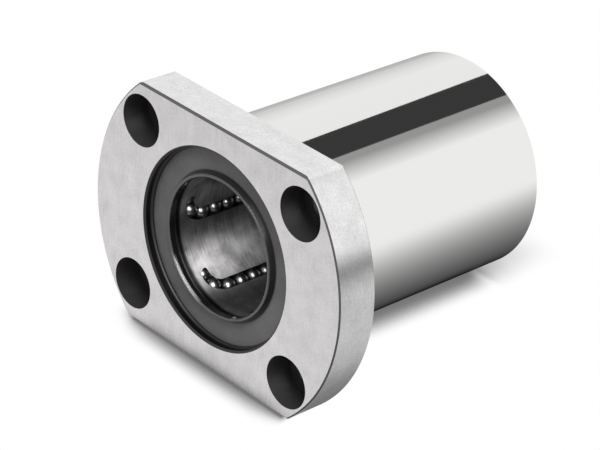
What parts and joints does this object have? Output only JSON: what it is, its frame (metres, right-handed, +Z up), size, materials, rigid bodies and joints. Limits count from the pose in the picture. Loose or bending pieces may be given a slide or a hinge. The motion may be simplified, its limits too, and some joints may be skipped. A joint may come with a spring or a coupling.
{
  "type": "flanged linear bearing",
  "caption": "Linear ball bearing with a flat-sided mounting flange, counterbored bolt holes, sealed ends and recirculating balls that carry a sliding shaft.",
  "frame": {"origin": "on the shaft's axis, in the plane where the flange seats on its housing", "axes": "+Y along the shaft from the flange into the body, +X along the flange's flats, +Z up"},
  "size_m": [0.062, 0.059, 0.046],
  "materials": {
    "bearing_steel": "hardened bearing steel, ground flange and polished cylinder",
    "retainer_steel": "turned steel, satin",
    "seal_rubber": "moulded rubber, matt",
    "spring_wire": "blackened spring steel wire",
    "ball_steel": "mirror-polished bearing steel"
  },
  "bodies": {
    "bearing": {"flanged_sleeve": "bearing_steel", "ball_retainer": "retainer_steel", "front_seal": "seal_rubber", "rear_seal": "seal_rubber", "front_snap_ring": "spring_wire", "rear_snap_ring": "spring_wire"},
    "loaded_balls_1": {"loaded_balls_1": "ball_steel"},
    "return_balls_1": {"return_balls_1": "ball_steel"},
    "front_turn_balls_1": {"front_turn_balls_1": "ball_steel"},
    "rear_turn_balls_1": {"rear_turn_balls_1": "ball_steel"},
    "loaded_balls_2": {"loaded_balls_2": "ball_steel"},
    "return_balls_2": {"return_balls_2": "ball_steel"},
    "front_turn_balls_2": {"front_turn_balls_2": "ball_steel"},
    "rear_turn_balls_2": {"rear_turn_balls_2": "ball_steel"},
    "loaded_balls_3": {"loaded_balls_3": "ball_steel"},
    "return_balls_3": {"return_balls_3": "ball_steel"},
    "front_turn_balls_3": {"front_turn_balls_3": "ball_steel"},
    "rear_turn_balls_3": {"rear_turn_balls_3": "ball_steel"},
    "loaded_balls_4": {"loaded_balls_4": "ball_steel"},
    "return_balls_4": {"return_balls_4": "ball_steel"},
    "front_turn_balls_4": {"front_turn_balls_4": "ball_steel"},
    "rear_turn_balls_4": {"rear_turn_balls_4": "ball_steel"},
    "loaded_balls_5": {"loaded_balls_5": "ball_steel"},
    "return_balls_5": {"return_balls_5": "ball_steel"},
    "front_turn_balls_5": {"front_turn_balls_5": "ball_steel"},
    "rear_turn_balls_5": {"rear_turn_balls_5": "ball_steel"},
    "loaded_balls_6": {"loaded_balls_6": "ball_steel"},
    "return_balls_6": {"return_balls_6": "ball_steel"},
    "front_turn_balls_6": {"front_turn_balls_6": "ball_steel"},
    "rear_turn_balls_6": {"rear_turn_balls_6": "ball_steel"}
  },
  "joints": [
    {"name": "loaded_row_1", "type": "slide", "parent": "bearing", "child": "loaded_balls_1", "axis": [0, 1, 0], "range_m": [-0.00044, 0.0025]},
    {"name": "return_row_1", "type": "slide", "parent": "bearing", "child": "return_balls_1", "axis": [0, -1, 0], "range_m": [-0.00044, 0.0025]},
    {"name": "front_turn_1", "type": "hinge", "parent": "bearing", "child": "front_turn_balls_1", "pos_m": [0.01404, 0.00084, -0.00124], "axis": [-0.9962, 0, -0.0867], "range_deg": [-9, 51]},
    {"name": "rear_turn_1", "type": "hinge", "parent": "bearing", "child": "rear_turn_balls_1", "pos_m": [0.01404, 0.04216, -0.00124], "axis": [-0.9962, 0, -0.0867], "range_deg": [-9, 51]},
    {"name": "loaded_row_2", "type": "slide", "parent": "bearing", "child": "loaded_balls_2", "axis": [0, 1, 0], "range_m": [-0.00044, 0.0025]},
    {"name": "return_row_2", "type": "slide", "parent": "bearing", "child": "return_balls_2", "axis": [0, -1, 0], "range_m": [-0.00044, 0.0025]},
    {"name": "front_turn_2", "type": "hinge", "parent": "bearing", "child": "front_turn_balls_2", "pos_m": [0.00809, 0.00084, 0.01154], "axis": [-0.4231, 0, -0.9061], "range_deg": [-9, 51]},
    {"name": "rear_turn_2", "type": "hinge", "parent": "bearing", "child": "rear_turn_balls_2", "pos_m": [0.00809, 0.04216, 0.01154], "axis": [-0.4231, 0, -0.9061], "range_deg": [-9, 51]},
    {"name": "loaded_row_3", "type": "slide", "parent": "bearing", "child": "loaded_balls_3", "axis": [0, 1, 0], "range_m": [-0.00044, 0.0025]},
    {"name": "return_row_3", "type": "slide", "parent": "bearing", "child": "return_balls_3", "axis": [0, -1, 0], "range_m": [-0.00044, 0.0025]},
    {"name": "front_turn_3", "type": "hinge", "parent": "bearing", "child": "front_turn_balls_3", "pos_m": [-0.00595, 0.00084, 0.01278], "axis": [0.5732, 0, -0.8194], "range_deg": [-9, 51]},
    {"name": "rear_turn_3", "type": "hinge", "parent": "bearing", "child": "rear_turn_balls_3", "pos_m": [-0.00595, 0.04216, 0.01278], "axis": [0.5732, 0, -0.8194], "range_deg": [-9, 51]},
    {"name": "loaded_row_4", "type": "slide", "parent": "bearing", "child": "loaded_balls_4", "axis": [0, 1, 0], "range_m": [-0.00044, 0.0025]},
    {"name": "return_row_4", "type": "slide", "parent": "bearing", "child": "return_balls_4", "axis": [0, -1, 0], "range_m": [-0.00044, 0.0025]},
    {"name": "front_turn_4", "type": "hinge", "parent": "bearing", "child": "front_turn_balls_4", "pos_m": [-0.01404, 0.00084, 0.00124], "axis": [0.9962, 0, 0.0867], "range_deg": [-9, 51]},
    {"name": "rear_turn_4", "type": "hinge", "parent": "bearing", "child": "rear_turn_balls_4", "pos_m": [-0.01404, 0.04216, 0.00124], "axis": [0.9962, 0, 0.0867], "range_deg": [-9, 51]},
    {"name": "loaded_row_5", "type": "slide", "parent": "bearing", "child": "loaded_balls_5", "axis": [0, 1, 0], "range_m": [-0.00044, 0.0025]},
    {"name": "return_row_5", "type": "slide", "parent": "bearing", "child": "return_balls_5", "axis": [0, -1, 0], "range_m": [-0.00044, 0.0025]},
    {"name": "front_turn_5", "type": "hinge", "parent": "bearing", "child": "front_turn_balls_5", "pos_m": [-0.00809, 0.00084, -0.01154], "axis": [0.4231, 0, 0.9061], "range_deg": [-9, 51]},
    {"name": "rear_turn_5", "type": "hinge", "parent": "bearing", "child": "rear_turn_balls_5", "pos_m": [-0.00809, 0.04216, -0.01154], "axis": [0.4231, 0, 0.9061], "range_deg": [-9, 51]},
    {"name": "loaded_row_6", "type": "slide", "parent": "bearing", "child": "loaded_balls_6", "axis": [0, 1, 0], "range_m": [-0.00044, 0.0025]},
    {"name": "return_row_6", "type": "slide", "parent": "bearing", "child": "return_balls_6", "axis": [0, -1, 0], "range_m": [-0.00044, 0.0025]},
    {"name": "front_turn_6", "type": "hinge", "parent": "bearing", "child": "front_turn_balls_6", "pos_m": [0.00595, 0.00084, -0.01278], "axis": [-0.5732, 0, 0.8194], "range_deg": [-9, 51]},
    {"name": "rear_turn_6", "type": "hinge", "parent": "bearing", "child": "rear_turn_balls_6", "pos_m": [0.00595, 0.04216, -0.01278], "axis": [-0.5732, 0, 0.8194], "range_deg": [-9, 51]}
  ],
  "couplings": [
    {"joint": "return_row_1", "follows": "loaded_row_1", "ratio": 1},
    {"joint": "front_turn_1", "follows": "loaded_row_1", "rad_per_m": 354.86},
    {"joint": "rear_turn_1", "follows": "loaded_row_1", "rad_per_m": 354.86},
    {"joint": "return_row_2", "follows": "loaded_row_2", "ratio": 1},
    {"joint": "front_turn_2", "follows": "loaded_row_2", "rad_per_m": 354.86},
    {"joint": "rear_turn_2", "follows": "loaded_row_2", "rad_per_m": 354.86},
    {"joint": "return_row_3", "follows": "loaded_row_3", "ratio": 1},
    {"joint": "front_turn_3", "follows": "loaded_row_3", "rad_per_m": 354.86},
    {"joint": "rear_turn_3", "follows": "loaded_row_3", "rad_per_m": 354.86},
    {"joint": "return_row_4", "follows": "loaded_row_4", "ratio": 1},
    {"joint": "front_turn_4", "follows": "loaded_row_4", "rad_per_m": 354.86},
    {"joint": "rear_turn_4", "follows": "loaded_row_4", "rad_per_m": 354.86},
    {"joint": "return_row_5", "follows": "loaded_row_5", "ratio": 1},
    {"joint": "front_turn_5", "follows": "loaded_row_5", "rad_per_m": 354.86},
    {"joint": "rear_turn_5", "follows": "loaded_row_5", "rad_per_m": 354.86},
    {"joint": "return_row_6", "follows": "loaded_row_6", "ratio": 1},
    {"joint": "front_turn_6", "follows": "loaded_row_6", "rad_per_m": 354.86},
    {"joint": "rear_turn_6", "follows": "loaded_row_6", "rad_per_m": 354.86}
  ]
}
